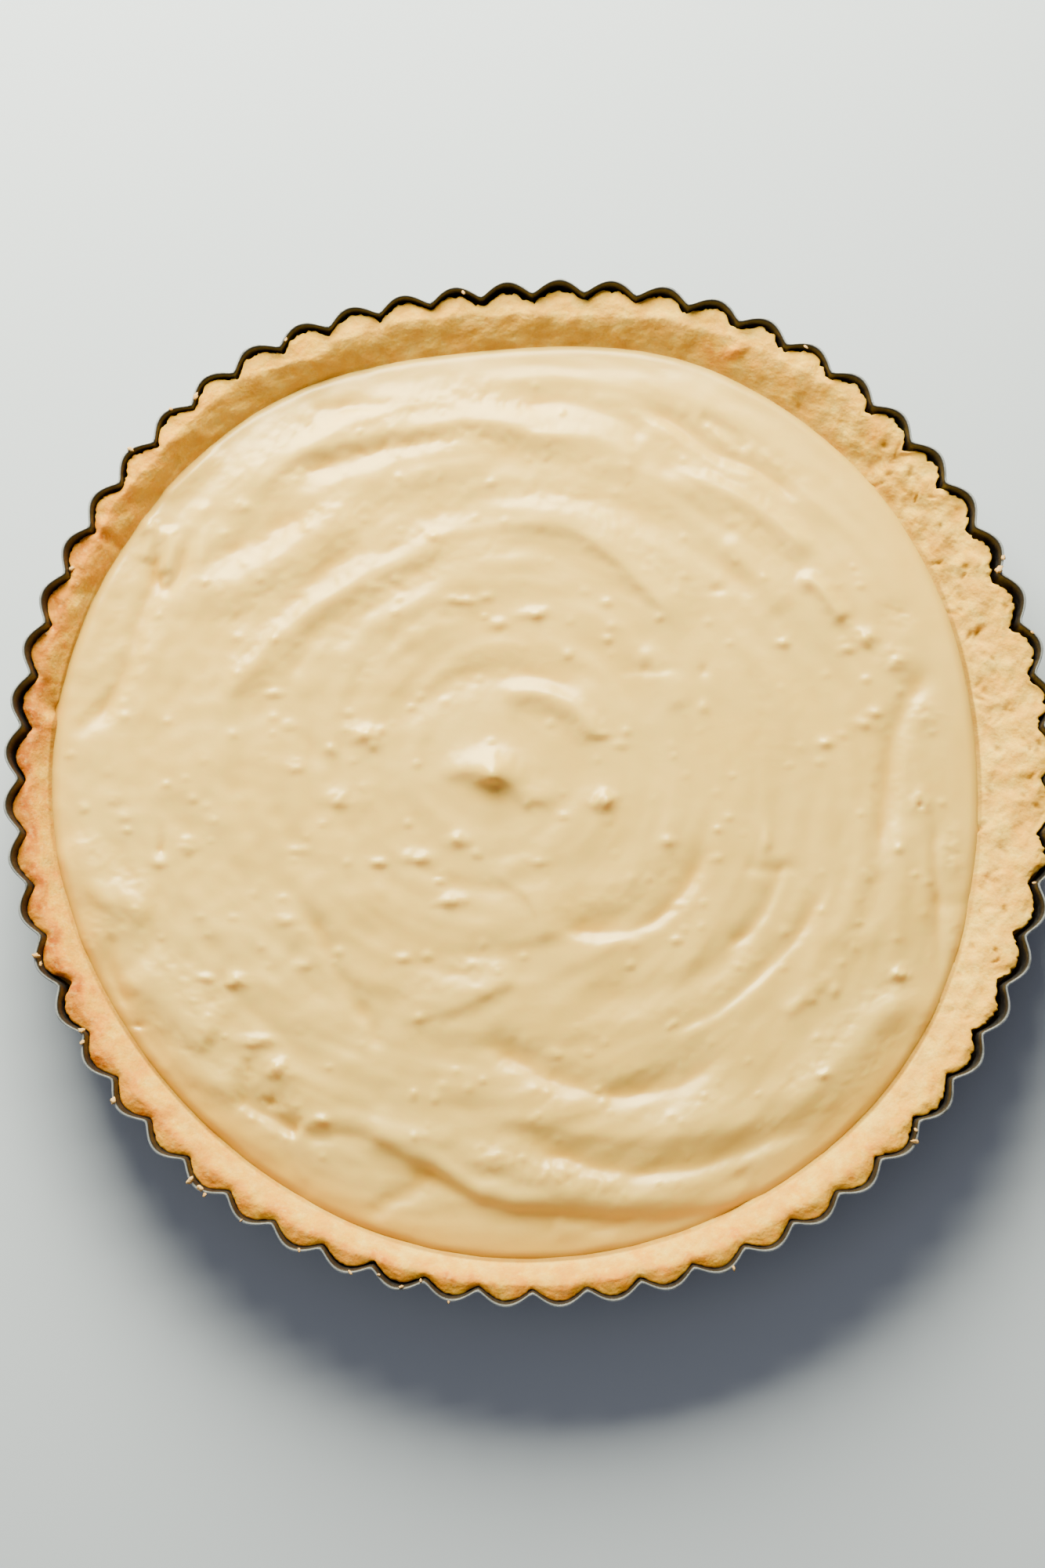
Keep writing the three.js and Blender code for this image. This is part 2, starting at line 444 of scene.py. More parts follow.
# Painted shade on the wall below the back's ledge, which faces away from the light.
browning += 0.12 * at_back * crisp((inward - 0.42) / 0.2)
browning += 0.24 * (0.6 + 0.75 * bead) * waves(crust_x + 3, crust_y, 0, 5 * mm, 4)
browning += 0.1 * waves(crust_x + 4, crust_y, 0, 1.6 * mm, 3) + 0.15 * pitted
for *place, strength in browned_spots:
    browning += strength * spot(*place)

# What lies in shade: the pits, the folds, and the line where the custard meets the crust.
dark_spots = (
    (171, 8, 0.9, 1.8, 1.4), (169.8, 6, 0.7, 1.6, 0.9), (168.6, 4, 0.7, 1.5, 0.7),
    (167.4, 2, 0.7, 1.4, 0.4), (-156.5, 1, 1, 1, 0.5), (95, 7, 4, 1, 0.2),
)
shaded = pitted
for *place, strength in dark_spots:
    shaded = np.maximum(shaded, strength * spot(*place))
meeting_line = crisp((0.6 - (crust_radius - inner_edge) / mm) / 0.5)
meeting_line = meeting_line * (1 - 0.8 * at_back) * (0.7 + 0.3 * np.sin(7 * around))

case_rows = [
    (0, tin_sheet + lining_gap),
    (tin_outside(angles, 0) - tin_sheet - heel_rounding, tin_sheet + lining_gap),
    (tin_outside(angles, heel_rounding) - tin_sheet - lining_gap, heel_rounding + lining_gap),
    (tin_outside(angles, under_rim) - tin_sheet - lining_gap, under_rim),
]
rim_rows = slice(len(case_rows), len(case_rows) + len(crust_top))
case_rows += zip(crust_radius, crust_top)
case_rows += [(inner_edge - 5 * mm, pastry_floor_top), (0, pastry_floor_top)]
case_browning = np.full((len(case_rows), crust_columns), 0.2)
case_browning[rim_rows] = np.clip(browning, 0, 1)
case_dark = np.zeros((len(case_rows), crust_columns))
case_dark[rim_rows] = np.clip(np.maximum(meeting_line, 0.7 * shaded), 0, 1)
case = wrapped_sheet("pastry_case_baked", angles, case_rows, browning=case_browning, dark=case_dark)

nodes, links, shader = new_material(case, "baked shortcrust")
bake = nodes.new("ShaderNodeValToRGB")
bake.color_ramp.elements[0].color = tone(250, 211, 98)
bake.color_ramp.elements[1].color = tone(190, 98, 4)
bake.color_ramp.elements.new(0.3).color = tone(248, 188, 46)
bake.color_ramp.elements.new(0.6).color = tone(240, 156, 18)
# The ramp follows the baked colour, with the rim's painted shade and light in it.
links.new(marked(nodes, "browning"), bake.inputs["Fac"])
floury = weakened(nodes, links, mottled(nodes, 900, 0.5, 0.8, 4), 0.4)
toasted = weakened(nodes, links, mottled(nodes, 210, 0.42, 0.62, 5), 0.5)
between_grains = weakened(nodes, links, mottled(nodes, 1900, 0.5, 0.3), 0.3)
in_shade = weakened(nodes, links, marked(nodes, "dark"), 0.8)
crumb = mixed(nodes, links, floury, bake.outputs["Color"], tone(253, 226, 140))
crumb = mixed(nodes, links, toasted, crumb, tone(228, 160, 46))
crumb = mixed(nodes, links, between_grains, crumb, tone(218, 150, 44))
crumb = mixed(nodes, links, in_shade, crumb, tone(140, 98, 26))
links.new(crumb, shader.inputs["Base Color"])
shader.inputs["Roughness"].default_value = 0.75
shader.inputs["Specular IOR Level"].default_value = 0.15
shader.inputs["Subsurface Weight"].default_value = 0.12
shader.inputs["Subsurface Radius"].default_value = (2, 1, 0.5)
shader.inputs["Subsurface Scale"].default_value = mm
bumped(nodes, links, shader, mottled(nodes, 1500, 0.25, 0.75, 6), 0.07 * mm)
bumped(nodes, links, shader, mottled(nodes, 420, 0.3, 0.7), 0.07 * mm)
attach(case, "root")
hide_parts("pastry_case")

# --- Custard --------------------------------------------------------------------------------------------
# Set pastry cream, poured in and spread from the middle outwards with a spatula. It set with the ridges
# and troughs of the strokes in it, a small curled peak in the middle, folded lobes round the edge, a thick
# lobe along the front with a lower shelf before it, and the lumps that the whisk missed.

custard_level = 20.3 * mm
custard_overlap = 0.8 * mm
custard_foot = pastry_floor_top - 0.5 * mm
foot_inset = 0.96
custard_cells = 312
stroke_depth = 1.35 * mm
custard_dome = 0.9 * mm
edge_dip = 0.9 * mm
edge_roll = 2.1 * mm
hollow_depth = 1.3 * mm


def disc(name, x, y, z, **marks):
    """A body with the given surface on top, a skirt that draws in a little, and a flat base."""
    maker = laid_grid(x, y, z, **marks)
    rim = [edge for edge in maker.edges if edge.is_boundary]
    skirt = bmesh.ops.extrude_edge_only(maker, edges=rim)["geom"]
    for vert in (part for part in skirt if isinstance(part, bmesh.types.BMVert)):
        vert.co = (vert.co.x * foot_inset, vert.co.y * foot_inset, custard_foot)
    bmesh.ops.holes_fill(maker, edges=[edge for edge in maker.edges if edge.is_boundary], sides=0)
    return finished(name, maker)


# A square grid rounded to a disc, and the disc stretched to the crust and a little way under it.
side = np.linspace(-1, 1, custard_cells + 1)
square_x, square_y = np.meshgrid(side, side)
disc_x = square_x * np.sqrt(1 - square_y**2 / 2)
disc_y = square_y * np.sqrt(1 - square_x**2 / 2)
outward = np.hypot(disc_x, disc_y)
bearing = np.degrees(np.arctan2(disc_y, disc_x))
reach = custard_edge(bearing) + custard_overlap
custard_top_x = custard_x + outward * reach * np.cos(np.radians(bearing))
custard_top_y = custard_y + outward * reach * np.sin(np.radians(bearing))
from_rim = (1 - outward) * reach / mm
place_x = custard_top_x / mm
place_y = custard_top_y / mm
samples_to_a_stretch = 12


def curve_through(points):
    """A smooth row of places through the points."""
    points = np.array(points, float)
    points = np.vstack([2 * points[0] - points[1], points, 2 * points[-1] - points[-2]])
    part_way = np.linspace(0, 1, samples_to_a_stretch, endpoint=False)[:, None]
    stretches = []
    for before, start, end, after in zip(points, points[1:], points[2:], points[3:]):
        slope_in = (end - before) / 2
        slope_out = (after - start) / 2
        bend = 3 * (end - start) - 2 * slope_in - slope_out
        twist = 2 * (start - end) + slope_in + slope_out
        stretches.append(start + slope_in * part_way + bend * part_way**2 + twist * part_way**3)
    return np.vstack(stretches + [points[-2:-1]])


# Each mark of the spatula: its height (below 0 a trough), how broad it is to the left and to the right of
# the way it was drawn, and the points that it runs through, in mm from the tin's axis.
strokes = (
    # over the back, from the outside inwards
    (-0.5, 2, 2, ((-9, 88), (5, 88.5), (14, 87), (22, 84), (27, 80))),
    (-0.4, 1.5, 1.5, ((-52, 87), (-42, 88), (-30, 88))),
    (1.0, 4.5, 2.6, (
        (-68, 61), (-62, 70.5), (-54, 76.5), (-44, 79.5), (-30, 82), (-14, 84.5), (-3, 82.5), (10, 80),
    )),
    (0.65, 3, 6, ((-58, 63), (-48, 68), (-38, 71.5), (-28, 74.5), (-18, 76), (-6, 77))),
    (0.55, 2, 4, ((-4, 80), (8, 80), (17, 78.5), (26, 75))),
    (-0.4, 2, 2, ((-54, 72), (-44, 76), (-34, 78.5), (-22, 80.5))),
    (-0.75, 2.5, 1.5, ((22, 89.5), (31, 85), (37, 80.5), (43, 76.5), (50, 74), (57, 69.5), (63, 64))),
    (-0.45, 1.5, 1.2, ((38, 86), (44, 82), (50, 77))),
    (0.75, 2, 2.5, ((30, 73), (42, 68.5), (52, 63), (58, 58), (64, 52))),
    (0.9, 1.6, 1.5, ((60, 48), (65, 45.5), (68.5, 41), (71.5, 37))),
    (-0.5, 2.5, 3, ((-78, 50), (-66, 54.5), (-56, 60), (-47, 65))),
    (0.85, 4, 4.5, ((-79, 40), (-70, 44.5), (-61, 49.5), (-54, 54), (-47, 59), (-39, 62))),
    (0.85, 2.4, 3, (
        (-72, 15), (-66, 24), (-60, 31), (-52, 38.5), (-44, 43.5), (-36, 48.5), (-28, 53), (-20, 57.5),
        (-8, 60.5),
    )),
    (0.9, 5, 1.7, ((-12, 60), (0, 60.3), (9, 59), (17, 54), (24, 47.5), (29, 42), (35, 34))),
    (-0.45, 2.5, 2.5, ((6, 67.5), (18, 65), (28, 61.5), (37, 55.5), (45, 49), (50, 42))),
    (0.35, 3, 3, ((44, 58), (51, 49), (57, 38))),
    (0.4, 3, 4, ((-50, 20), (-42, 30), (-33, 38), (-24, 43), (-18, 47.5), (-8, 50), (6, 51.5))),
    (0.3, 2, 3, ((-40, 18), (-33, 28), (-24, 34), (-12, 38))),
    (0.35, 2.4, 4, ((50, 46), (55.5, 31), (57, 20), (57, 2))),
    (-0.5, 3, 3, ((-33, 12), (-26, 19), (-16, 23.5), (-5, 25.5), (6, 24.5), (14, 20))),
    (0.75, 2, 2.6, ((-8, 20), (-3, 20.7), (3, 20.2), (9, 17.5), (13, 13), (14, 9))),
    (0.35, 2.2, 2.2, ((24, 31), (30, 25), (34, 16))),
    # the folded lobes at the left and at the top left
    (-0.8, 2.2, 1.8, ((-86.5, 56), (-87, 46), (-90, 37), (-92.5, 27), (-97, 18), (-106, 10))),
    (0.6, 4, 4, ((-95, 54), (-100, 38), (-103, 22))),
    (0.8, 1.8, 1.8, ((-89, 63), (-87.5, 57), (-89, 51))),
    (0.7, 1.6, 1.4, ((-83.5, 60), (-83, 54), (-84.5, 48))),
    (-0.55, 1.1, 1.1, ((-86, 58), (-86, 49), (-84, 45), (-80.5, 49), (-79, 60))),
    (0.6, 2, 2, ((-86, 67), (-79, 71.5), (-71, 78))),
    (0.4, 1.6, 2.2, ((-75, 66), (-75.5, 58), (-76, 50))),
    # round the middle
    (0.7, 3.4, 1.6, ((-22, 2.2), (-15, 2.6), (-9, 1.2), (-5, -0.5), (0, -3.6), (7, -3))),
    (-0.9, 5, 1.5, ((2.5, -32), (12, -34), (20, -34), (27, -31.5), (31.5, -28), (36, -22), (40, -13))),
    (0.45, 5, 1.2, ((-10, -20), (-2, -25), (1.5, -30), (2.5, -38))),
    (0.7, 4.5, 1.8, ((-32, -54.5), (-20, -52), (-11, -48), (-3, -43))),
    (-0.35, 3, 3, ((5, -49), (20, -49.5), (34, -46), (44, -40), (51, -32))),
    (-0.5, 2.5, 1.1, ((28, -58), (40, -53), (48, -47), (55, -40.5), (62, -32), (68, -20))),
    (-0.45, 2.2, 1, ((43, -38.5), (50, -33), (54, -26), (57, -17))),
    (-0.5, 1.8, 1.8, ((-50, -27), (-47.5, -37), (-42, -46.5), (-37, -55), (-33, -61))),
    (0.3, 1.4, 1.3, ((56, -53.5), (62, -49), (67.5, -43.5))),
    (-0.22, 1.4, 1.2, ((47, -19.5), (54, -20), (61, -19))),
    (0.35, 2.5, 2.5, ((75, -40), (80, -30), (83, -18), (84, -8))),
    (0.3, 2, 2.5, ((66, -40), (71, -30), (74, -18), (75, -4))),
    # the long troughs along the front
    (-0.85, 3, 2, (
        (-13, -58.5), (-6, -62), (2, -66.5), (10, -69.5), (20, -71), (30, -69.5), (38, -65.5),
        (46, -58),
    )),
    (0.7, 6, 2.4, ((-12, -74), (0, -77), (12, -79.5), (26, -80.5), (40, -79), (52, -75.5))),
    (-0.7, 2.8, 1.8, (
        (-4, -82), (6, -85), (14, -87.5), (24, -88.6), (34, -87.8), (44, -85), (56, -80.5),
        (64, -77.5),
    )),
    (0.45, 3, 2, ((-20, -84), (-8, -87.5), (2, -91), (14, -94), (28, -94), (40, -91))),
    (0.4, 2, 2, ((4, -100.5), (11, -102.8), (20, -105))),
    (0.9, 3.5, 4, ((54, -77), (64, -70), (72, -61.5), (78, -53.5), (85, -51.8), (92, -47))),
    (-0.5, 2, 2, ((46, -88), (49, -93), (49, -98))),
    # the lobes at the lower left and at the right
    (0.9, 5, 2.8, ((-109, -13), (-104, -20), (-98, -25.5), (-91, -29), (-85, -30))),
    (-0.55, 1.3, 1.3, ((-95, -34), (-95, -43), (-91, -52))),
    (0.95, 6, 2.4, ((-92, -43), (-85, -50), (-78, -56.5), (-72, -61))),
    (0.6, 3, 2.6, ((-84, -62), (-75, -67), (-66, -70.5))),
    (-1.0, 3, 1.6, ((-68, -71.5), (-62, -74.5), (-56, -78), (-52, -80))),
    (-0.45, 2, 1.8, ((-52, -80.5), (-44, -80.3), (-35, -80.5))),
    (-0.5, 2, 2, ((-21, -88), (-29, -93.5), (-38, -99))),
    (-0.3, 1.4, 1.4, ((-58, -79), (-55, -87), (-50, -95))),
    (-0.7, 2.2, 2.2, ((91, 28), (86, 19.5), (82.5, 11), (80.7, 2), (79.5, -8), (78.5, -18))),
    (-0.45, 1.2, 1.2, ((91.5, -8), (91, -18), (91.8, -30), (92, -46))),
    (-0.25, 1.6, 1.6, ((90, -26), (95, -28), (101, -27))),
)

# Each stroke is laid over the custard from its nearest place on the curve, and fades out at both ends.
stroke_spread = 1.2
stroke_raggedness = 0.22
end_fade = 0.18
jagged = waves(custard_top_x, custard_top_y, 0, 3 * mm, 3)
relief = np.zeros_like(place_x)
for height, left, right, points in strokes:
    path = curve_through(points)
    near = 3 * max(left, right)
    here = (place_x > path[:, 0].min() - near) & (place_x < path[:, 0].max() + near)
    here &= (place_y > path[:, 1].min() - near) & (place_y < path[:, 1].max() + near)
    away_x = place_x[here][:, None] - path[:, 0]
    away_y = place_y[here][:, None] - path[:, 1]
    nearest = np.hypot(away_x, away_y).argmin(axis=1)
    heading = np.gradient(path, axis=0)[nearest]
    heading /= np.hypot(heading[:, 0], heading[:, 1])[:, None]
    away_x = np.take_along_axis(away_x, nearest[:, None], axis=1)[:, 0]
    away_y = np.take_along_axis(away_y, nearest[:, None], axis=1)[:, 0]
    aside = heading[:, 0] * away_y - heading[:, 1] * away_x
    progress = (nearest + heading[:, 0] * away_x + heading[:, 1] * away_y) / (len(path) - 1)
    fade = crisp(np.minimum(progress, 1 - progress) / end_fade + 0.05)
    breadth = stroke_spread * np.where(aside > 0, left, right) * (1 + stroke_raggedness * jagged[here])
    relief[here] += height * fade * np.exp(-((aside / breadth) ** 2))

# The front of the thick lobe, before which the custard stands lower.
lobe_x = (-66, -58, -50, -40, -36, -29, -22, -17, -12, -4, 8, 20, 34, 45, 56)
lobe_y = (-72, -75, -79.5, -80, -81.5, -85.5, -88.5, -92, -95, -97, -97.7, -98.7, -98.2, -96.5, -90)
before_lobe = np.interp(place_x, lobe_x, lobe_y) - place_y
lobe_ends = crisp((place_x + 66) / 14) * crisp((52 - place_x) / 6)
lobe_strength = (0.3 + 0.7 * crisp((place_x + 42) / 26)) * lobe_ends
relief -= 1.25 * lobe_strength / (1 + np.exp(-before_lobe / 0.55))
relief += 0.35 * lobe_strength * np.exp(-(((before_lobe + 2.6) / 2.2) ** 2))

# The peak, where the spatula was lifted off: steep in front, drawn out behind.
peak_x = -9.2
peak_y = 0.6
beside_peak = place_x - peak_x
behind_peak = place_y - peak_y
peak_length = np.where(behind_peak < 0, 1.5, 4.5)
relief += 1.9 * np.exp(-(np.hypot(beside_peak / 3.2, behind_peak / peak_length) ** 1.4))
relief += 0.7 * np.exp(-(np.hypot((beside_peak - 1) / 7, (behind_peak - 3) / 4) ** 2))

# Lumps and holes, in mm: x, y, half-width across and along, and height. Then small lumps all over.
lumps = [
    (-38, 10.5, 3, 2.2, 0.9), (-41.5, 12.6, 1.8, 1.3, 0.5), (-36, 8, 1.4, 1.4, 0.5),
    (-46, 7.5, 1.2, 1.2, 0.4), (-54, 3.5, 1.8, 1.5, 0.7), (-55.5, 13, 1.3, 1.1, 0.5),
    (-35.5, 45.5, 1.8, 1, 0.5), (-31.5, 47, 1, 0.8, 0.35), (-23, 57, 1.3, 1, 0.4), (-16, 42, 3, 0.9, 0.6),
    (-10.5, 42.8, 1.6, 0.9, 0.4), (0, 38.8, 3, 1.1, 0.7), (-8, 36.5, 2.2, 1.2, 0.4),
    (-52, 59, 1, 0.8, 0.3), (-62, 47, 1, 0.9, 0.3), (-59, 20.5, 2.6, 0.9, 0.35), (-20, 18.8, 1, 0.8, 0.3),
    (-67, 64, 2, 1.6, 0.5), (-88, 59.5, 2, 2, 0.6), (-75, 79, 1.5, 1, 0.4), (76, 33.5, 2.5, 2, 0.8),
    (72, 31, 1.6, 1.2, 0.4), (83, 28, 3.4, 2.8, 0.7), (83, 38, 4, 3, -0.4), (89, 16, 3.6, 4, 0.6),
    (20, 8.5, 1.4, 0.8, 0.4), (15.5, 10.8, 2.2, 0.8, 0.35), (39, 17, 1.1, 1.3, 0.5),
    (66.5, 9, 1.8, 1.2, 0.6), (75.5, 13.5, 2.2, 1.3, 0.5), (78, 16, 1.8, 1.2, 0.4),
    (42, 44.5, 1.8, 1, -0.5), (17, 41.5, 1.2, 0.9, 0.4), (8, 29.5, 1, 0.9, 0.4), (17, 33, 1.2, 0.8, 0.4),
    (27, 26, 5, 1.8, -0.45), (57, 32.2, 1.6, 0.9, 0.45), (39, 26, 1.4, 2, -0.35), (16, -4.6, 2.8, 2, 1.2),
    (7, -8, 1.3, 0.9, 0.4), (31, -13.8, 1.6, 1.1, 0.55), (42, -11, 0.9, 0.7, 0.35),
    (42, -17.5, 1, 0.8, 0.3), (88, -5, 2.4, 2.8, 0.6), (88, -5.4, 0.7, 0.8, -1),
    (83, -15.5, 1.2, 1.2, 0.45), (76, -22, 1, 0.9, 0.35), (32.5, -36.2, 1.2, 1, 0.5),
    (22, -42, 1, 0.8, 0.35), (53, -14, 1.1, 2.4, 0.4), (83, -44, 2.2, 1.6, 1), (5, -62.3, 1.6, 1, 0.7),
    (65, -67, 1.8, 1.1, 0.5), (16, -73, 1, 0.8, 0.35), (95, -17, 2.8, 6, 0.55), (95.5, -36, 2.4, 5, 0.5),
    (65, -29.5, 1, 0.8, 0.35), (57, -34.5, 0.9, 0.8, 0.3), (73, -37.5, 1.4, 2.4, 0.4),
    (68, -48, 1.6, 1.6, 0.4), (-44, -4.2, 2.8, 2, 0.7), (-78, -14.6, 1.8, 1.4, 0.65),
    (-85, -18.6, 1.6, 1.1, 0.4), (-84.3, -15, 0.8, 2.4, -0.7), (-53, -15.7, 1.8, 1, 0.5),
    (-35, -18.6, 1.9, 1, 0.65), (-26, -17.6, 3.2, 1.5, 0.7), (-17, -13.6, 2.2, 1.5, 0.85),
    (-12.5, -16.6, 1.2, 1, 0.45), (-18.5, -27.6, 2.8, 1.2, 0.65), (-44, -39, 1.2, 1, 0.5),
    (-29, -40.5, 1.8, 1, 0.55), (-24, -40, 1.2, 0.9, 0.45), (-52, -42, 1.6, 1.2, 0.6),
    (-56, -32, 2.5, 1.2, 0.4), (-67, -46, 2.4, 1.8, 0.95), (-73.5, -45, 2, 1.1, 0.6),
    (-95, -4, 1.6, 1.1, 0.4), (-93, -8, 1.5, 1.3, 0.4), (-102, -6, 1.2, 1.1, 0.4),
    (-62, -59.5, 3.4, 1.3, 0.9), (-57, -66, 2.8, 2.4, 1), (-48, -77.3, 1.6, 1, 0.55),
    (-89, -55.5, 1.8, 0.9, -0.7), (-99.5, -36, 3.6, 4.5, 0.5), (2, -18.5, 2.2, 0.8, 0.3),
    (-27, -72, 0.9, 0.8, 0.35), (-22, -72.6, 0.9, 0.8, 0.3), (-8, -86, 6, 3, 0.45), (4, -89.5, 6, 3, 0.5),
    (15, -92, 5, 2.5, 0.4), (34, -91.5, 6, 2.2, 0.3), (-15, -42, 3.5, 1.6, 0.35),
    (-105, 6.5, 1.4, 1.1, 0.3), (-58, -73, 3, 1.6, -0.6), (-64, -66, 1.6, 3, -0.5),
]
small_lumps = 260
scatter_radius = 96
lump_share = 0.85
lump_raggedness = 0.7
lump_draw = random.Random(11)
for _ in range(small_lumps):
    out = scatter_radius * math.sqrt(lump_draw.random())
    turn = lump_draw.uniform(0, 2 * math.pi)
    size = lump_draw.uniform(0.45, 0.9)
    height = lump_draw.uniform(0.1, 0.34)
    lumps.append((out * math.cos(turn) - 3, out * math.sin(turn) - 2, size * 1.2, size, height))
for lump_x, lump_y, wide, deep, height in lumps:
    here = (np.abs(place_x - lump_x) < 3 * wide) & (np.abs(place_y - lump_y) < 3 * deep)
    behind = place_y[here] - lump_y
    away = np.hypot((place_x[here] - lump_x) / wide, behind / np.where(behind < 0, 0.75 * deep, 1.2 * deep))
    relief[here] += lump_share * height * np.exp(-(away**2)) * (1 + lump_raggedness * jagged[here])

# What the strokes left in the smooth parts: long shallow waves that wind round the middle, and on the
# left some short ones. Each long wave has its breadth, how many times longer it is, and its height.
swirl_x = -8
swirl_y = 3
from_swirl = np.hypot(place_x - swirl_x, place_y - swirl_y)
wound = np.arctan2(place_y - swirl_y, place_x - swirl_x) + from_swirl / 60
for size, drawn_out, height in ((10, 3, 0.42), (4.5, 4, 0.07)):
    round_swirl = from_swirl / (size * drawn_out)
    across_x = round_swirl * np.cos(wound)
    across_y = round_swirl * np.sin(wound) + size
    relief += height * waves(from_swirl / size, across_x, across_y, 1, 2) * np.clip(from_swirl / 25, 0.2, 1)
left_side = 0.35 + 0.65 * crisp((10 - place_x) / 60)
short_waves = waves(custard_top_x, custard_top_y, 0.3, 8 * mm, 2)
relief += 0.2 * short_waves * left_side * np.clip(from_swirl / 20, 0.3, 1)

# The whole surface: level, a little domed, easing down near the crust and rolling up against it.
near_crust = crisp(1 - from_rim / 15)
roll = np.clip(1 - from_rim / 3.4, 0, 1)
custard_top = custard_level + relief * stroke_depth * (1 - 0.35 * near_crust) - edge_dip * near_crust
custard_top -= custard_dome * (outward**2 - 0.4) + edge_roll * roll**2.2

# Painted shade: the hollows, found against a smoothed copy of the surface, are painted a deeper, yellower
# colour. So is the custard near the crust, most at the front, partly its own colour where the layer is
# shallow and partly painted shade. Next to the crust a darker painted shade is laid in.
smooth = custard_top.copy()
smoothing_rounds = 10
for _ in range(smoothing_rounds):
    padded = np.pad(smooth, 3, mode="edge")
    beside = padded[:-6, 3:-3] + padded[6:, 3:-3] + padded[3:-3, :-6] + padded[3:-3, 6:]
    smooth = (beside + 2 * smooth) / 6
forward = 1 - swell(bearing, 90, 100)
thin_and_shaded = 0.1 + swell(bearing, -118, 80) + 0.5 * swell(bearing, -45, 25)
yellow = 0.9 * crisp((smooth - custard_top) / hollow_depth)
yellow += 0.95 * crisp(1 - from_rim / 12) * thin_and_shaded + 0.3 * roll * forward
shade = 0.26 * crisp((3.8 - from_rim) / 2.6) + 0.5 * crisp((1.6 - from_rim) / 0.8)
shade *= 1 - 0.85 * swell(bearing, 90, 100)
custard = disc(
    "swirled_custard",
    custard_top_x,
    custard_top_y + tin_axis_y,
    custard_top,
    yellow=np.clip(yellow, 0, 1),
    crevice=shade,
)

nodes, links, shader = new_material(custard, "set custard")
cream = mixed(nodes, links, mottled(nodes, 45, 0.3, 0.7), tone(244, 210, 112), tone(239, 202, 98))
# Painted shade: deeper and yellower in the hollows and at the front edge, darker still against the crust.
cream = mixed(nodes, links, marked(nodes, "yellow"), cream, tone(226, 172, 34))
cream = mixed(nodes, links, marked(nodes, "crevice"), cream, tone(150, 106, 20))
links.new(cream, shader.inputs["Base Color"])
links.new(ranged(nodes, links, mottled(nodes, 120, 0.3, 0.7), 0.34, 0.46), shader.inputs["Roughness"])
shader.inputs["Subsurface Weight"].default_value = 0.5
shader.inputs["Subsurface Radius"].default_value = (3, 1.8, 0.7)
shader.inputs["Subsurface Scale"].default_value = mm
shader.inputs["Coat Weight"].default_value = 0.65
shader.inputs["Coat Roughness"].default_value = 0.27
bumped(nodes, links, shader, mottled(nodes, 420, 0.45, 0.75, 2), 0.02 * mm)
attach(custard, "root")
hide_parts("custard")

# --- Crumbs ---------------------------------------------------------------------------------------------
# Loose crumbs of the crust, 0.8 to 2.7 mm long, that broke off when the case was trimmed. They lie on the
# rim of the tin, in its flutes and on the edge of the pastry.

# Each crumb: its angle, how far in from the tin's outside it lies, and its size, both in mm.
crumbs_at = (
    (-160, 0.6, 1.2), (-159, 1.4, 0.7), (-150.4, 0.9, 1.1), (-149.2, 0.3, 0.8), (-142, 0.2, 0.9),
    (-130, 0.3, 1.1), (-128.6, 0.7, 1.3), (-127.8, -0.4, 0.7), (-123, 0.4, 0.5), (-116, 0.5, 0.6),
    (-110, 0.4, 0.7), (-107, 0.7, 0.5), (-104.3, 0.9, 0.6), (-102.4, 0.9, 0.5), (-99, -0.1, 0.5),
    (-68, -0.2, 0.6), (-44, 0.6, 0.9), (-43, 1, 0.6), (24.4, 0.9, 1.1), (25.4, 0.2, 0.8), (16.5, 0.6, 0.6),
    (140.3, 0.4, 1.1), (134, 0.5, 0.7), (131, 0.9, 0.9), (155, 2.4, 0.9), (163, 2.5, 0.5), (119, 0.9, 0.6),
    (98, 1.5, 0.7), (-12, 1.4, 0.6), (58, 1.3, 0.5),
)
near_tin_edge = 0.8
lean = Vector((0, 0, 1)).rotation_difference(Vector((0.2, 0.1, 1)))
first_rim_row = len(edge_inward)
crumb_draw = random.Random(7)
maker = bmesh.new()
for angle, depth, size in crumbs_at:
    bit = bmesh.ops.create_icosphere(maker, subdivisions=2, radius=1)["verts"]
    length = crumb_draw.uniform(0.8, 1.4)
    breadth = crumb_draw.uniform(0.5, 0.8)
    thickness = crumb_draw.uniform(0.3, 0.5)
    turned = Matrix.Rotation(crumb_draw.uniform(0, math.pi), 3, "Z")
    out = tin_outside(angle, tin_height) - depth * mm
    column = round(angle % 360 / 360 * crust_columns) % crust_columns
    under_radius = crust_radius[first_rim_row:, column]
    under_height = crust_top[first_rim_row:, column]
    on_crust = depth >= near_tin_edge and out < under_radius[0]
    lying_at = np.interp(-out, -under_radius, under_height) if on_crust else tin_height
    middle = Vector((
        math.cos(math.radians(angle)) * out,
        math.sin(math.radians(angle)) * out + tin_axis_y,
        lying_at + 0.3 * size * mm,
    ))
    for vert in bit:
        rough = 0.8 + 0.6 * noise.noise(vert.co * 1.9 + Vector((angle, 0, 0)))
        shape = vert.co * Vector((length, breadth, thickness)) * rough * size * mm
        shape.rotate(lean)
        vert.co = middle + turned @ shape
crumbs = finished("crumbs", maker)

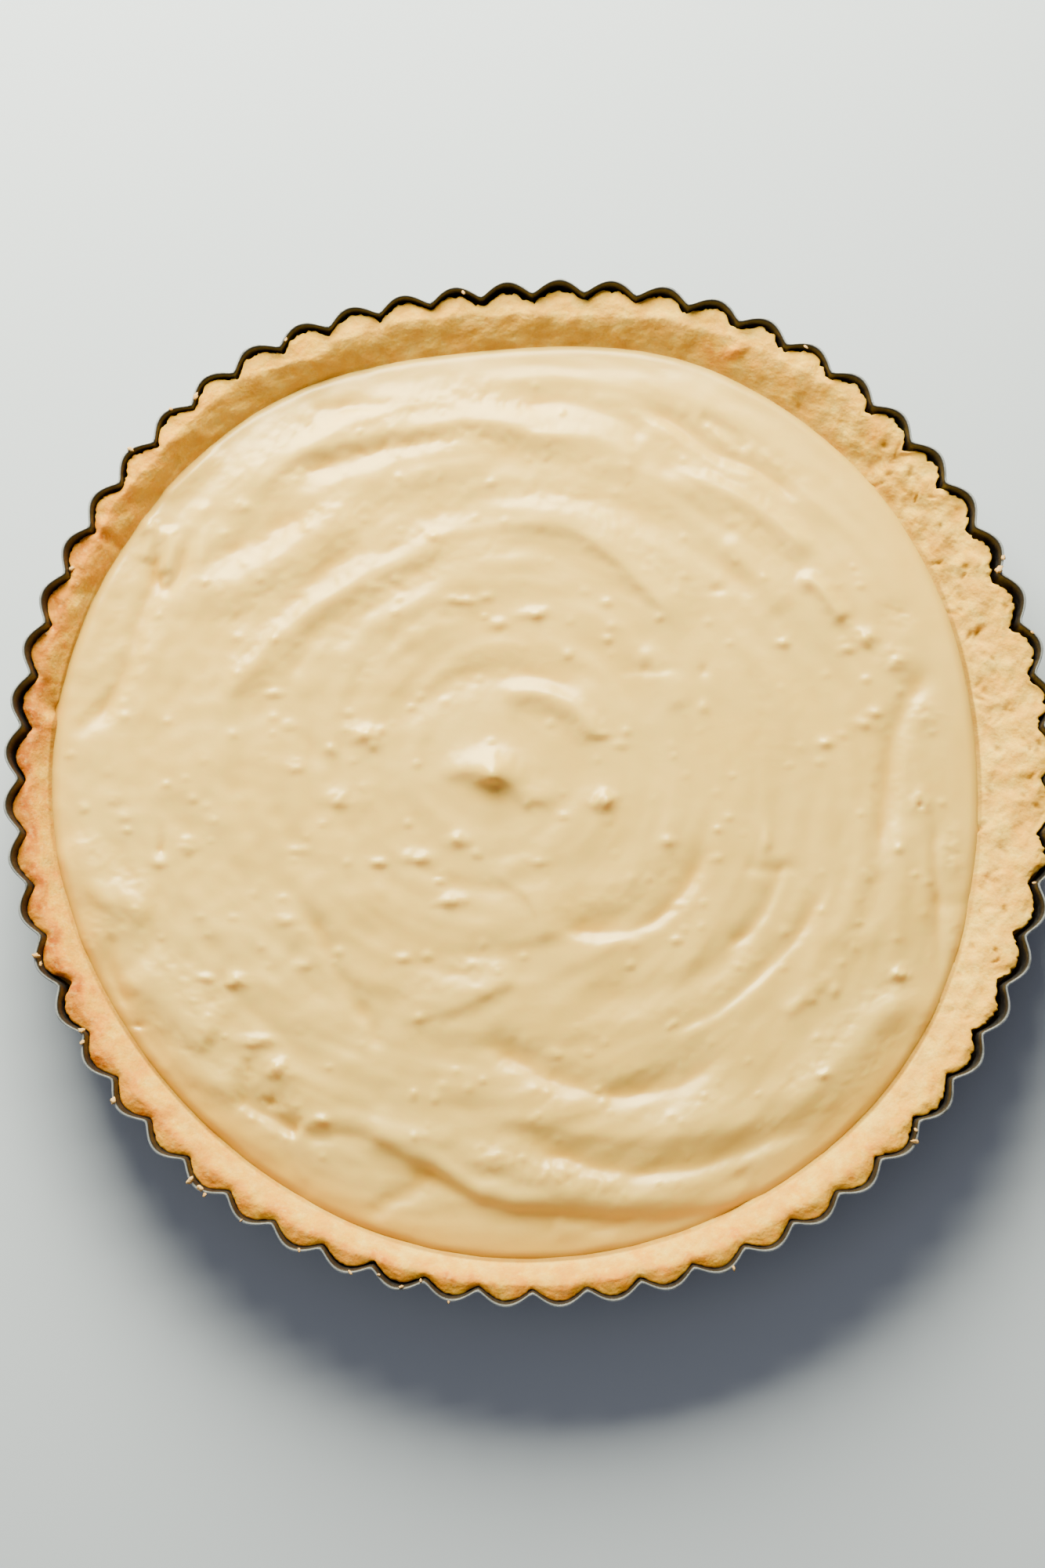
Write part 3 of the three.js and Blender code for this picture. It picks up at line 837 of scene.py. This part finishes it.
nodes, links, shader = new_material(crumbs, "pastry crumbs")
toast = mixed(nodes, links, mottled(nodes, 500, 0.35, 0.65), tone(232, 196, 138), tone(206, 158, 92))
links.new(toast, shader.inputs["Base Color"])
shader.inputs["Roughness"].default_value = 0.85
bumped(nodes, links, shader, mottled(nodes, 2600, 0.3, 0.7), 0.1 * mm)
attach(crumbs, "root")

# --- Table, light and camera ----------------------------------------------------------------------------
# A plain pale table, a broad soft window light from behind, a weak fill from the front, and a long lens
# looking almost straight down.

maker = bmesh.new()
bmesh.ops.create_grid(maker, x_segments=1, y_segments=1, size=3)
table = finished("table", maker)
nodes, links, shader = new_material(table, "pale table")
stone = mixed(nodes, links, mottled(nodes, 3, 0.2, 0.8), tone(190, 205, 238), tone(196, 211, 243))
links.new(stone, shader.inputs["Base Color"])
shader.inputs["Roughness"].default_value = 0.7


def soft_light(name, place, size, power, colour):
    """A square soft box at a place, facing the tart."""
    lamp = bpy.data.lights.new(name, "AREA")
    lamp.size = size
    lamp.energy = power
    lamp.color = colour
    box = bpy.data.objects.new(name, lamp)
    box.location = place
    box.rotation_euler = (-Vector(place)).to_track_quat("-Z", "Y").to_euler()
    bpy.context.scene.collection.objects.link(box)


soft_light("window", place=(-0.12, 0.56, 0.38), size=0.5, power=25, colour=(1, 0.92, 0.6))
soft_light("fill", place=(-0.5, -0.4, 1.4), size=1.2, power=2, colour=(1, 0.93, 0.75))
room = bpy.data.worlds.new("room")
room.use_nodes = True
room.node_tree.nodes["Background"].inputs["Color"].default_value = (1, 0.93, 0.85, 1)
room.node_tree.nodes["Background"].inputs["Strength"].default_value = 0.17
bpy.context.scene.world = room

camera_tilt = math.radians(80)
camera_distance = 1.384
camera_lens = 140.5
aim = Vector((-2.3 * mm, tin_axis_y - 1.35 * mm, tin_height))
camera = bpy.data.objects.new("camera", bpy.data.cameras.new("camera"))
camera.data.lens = camera_lens
camera.location = aim + camera_distance * Vector((0, -math.cos(camera_tilt), math.sin(camera_tilt)))
camera.rotation_euler = (math.radians(90) - camera_tilt, 0, 0)
bpy.context.scene.collection.objects.link(camera)
bpy.context.scene.camera = camera
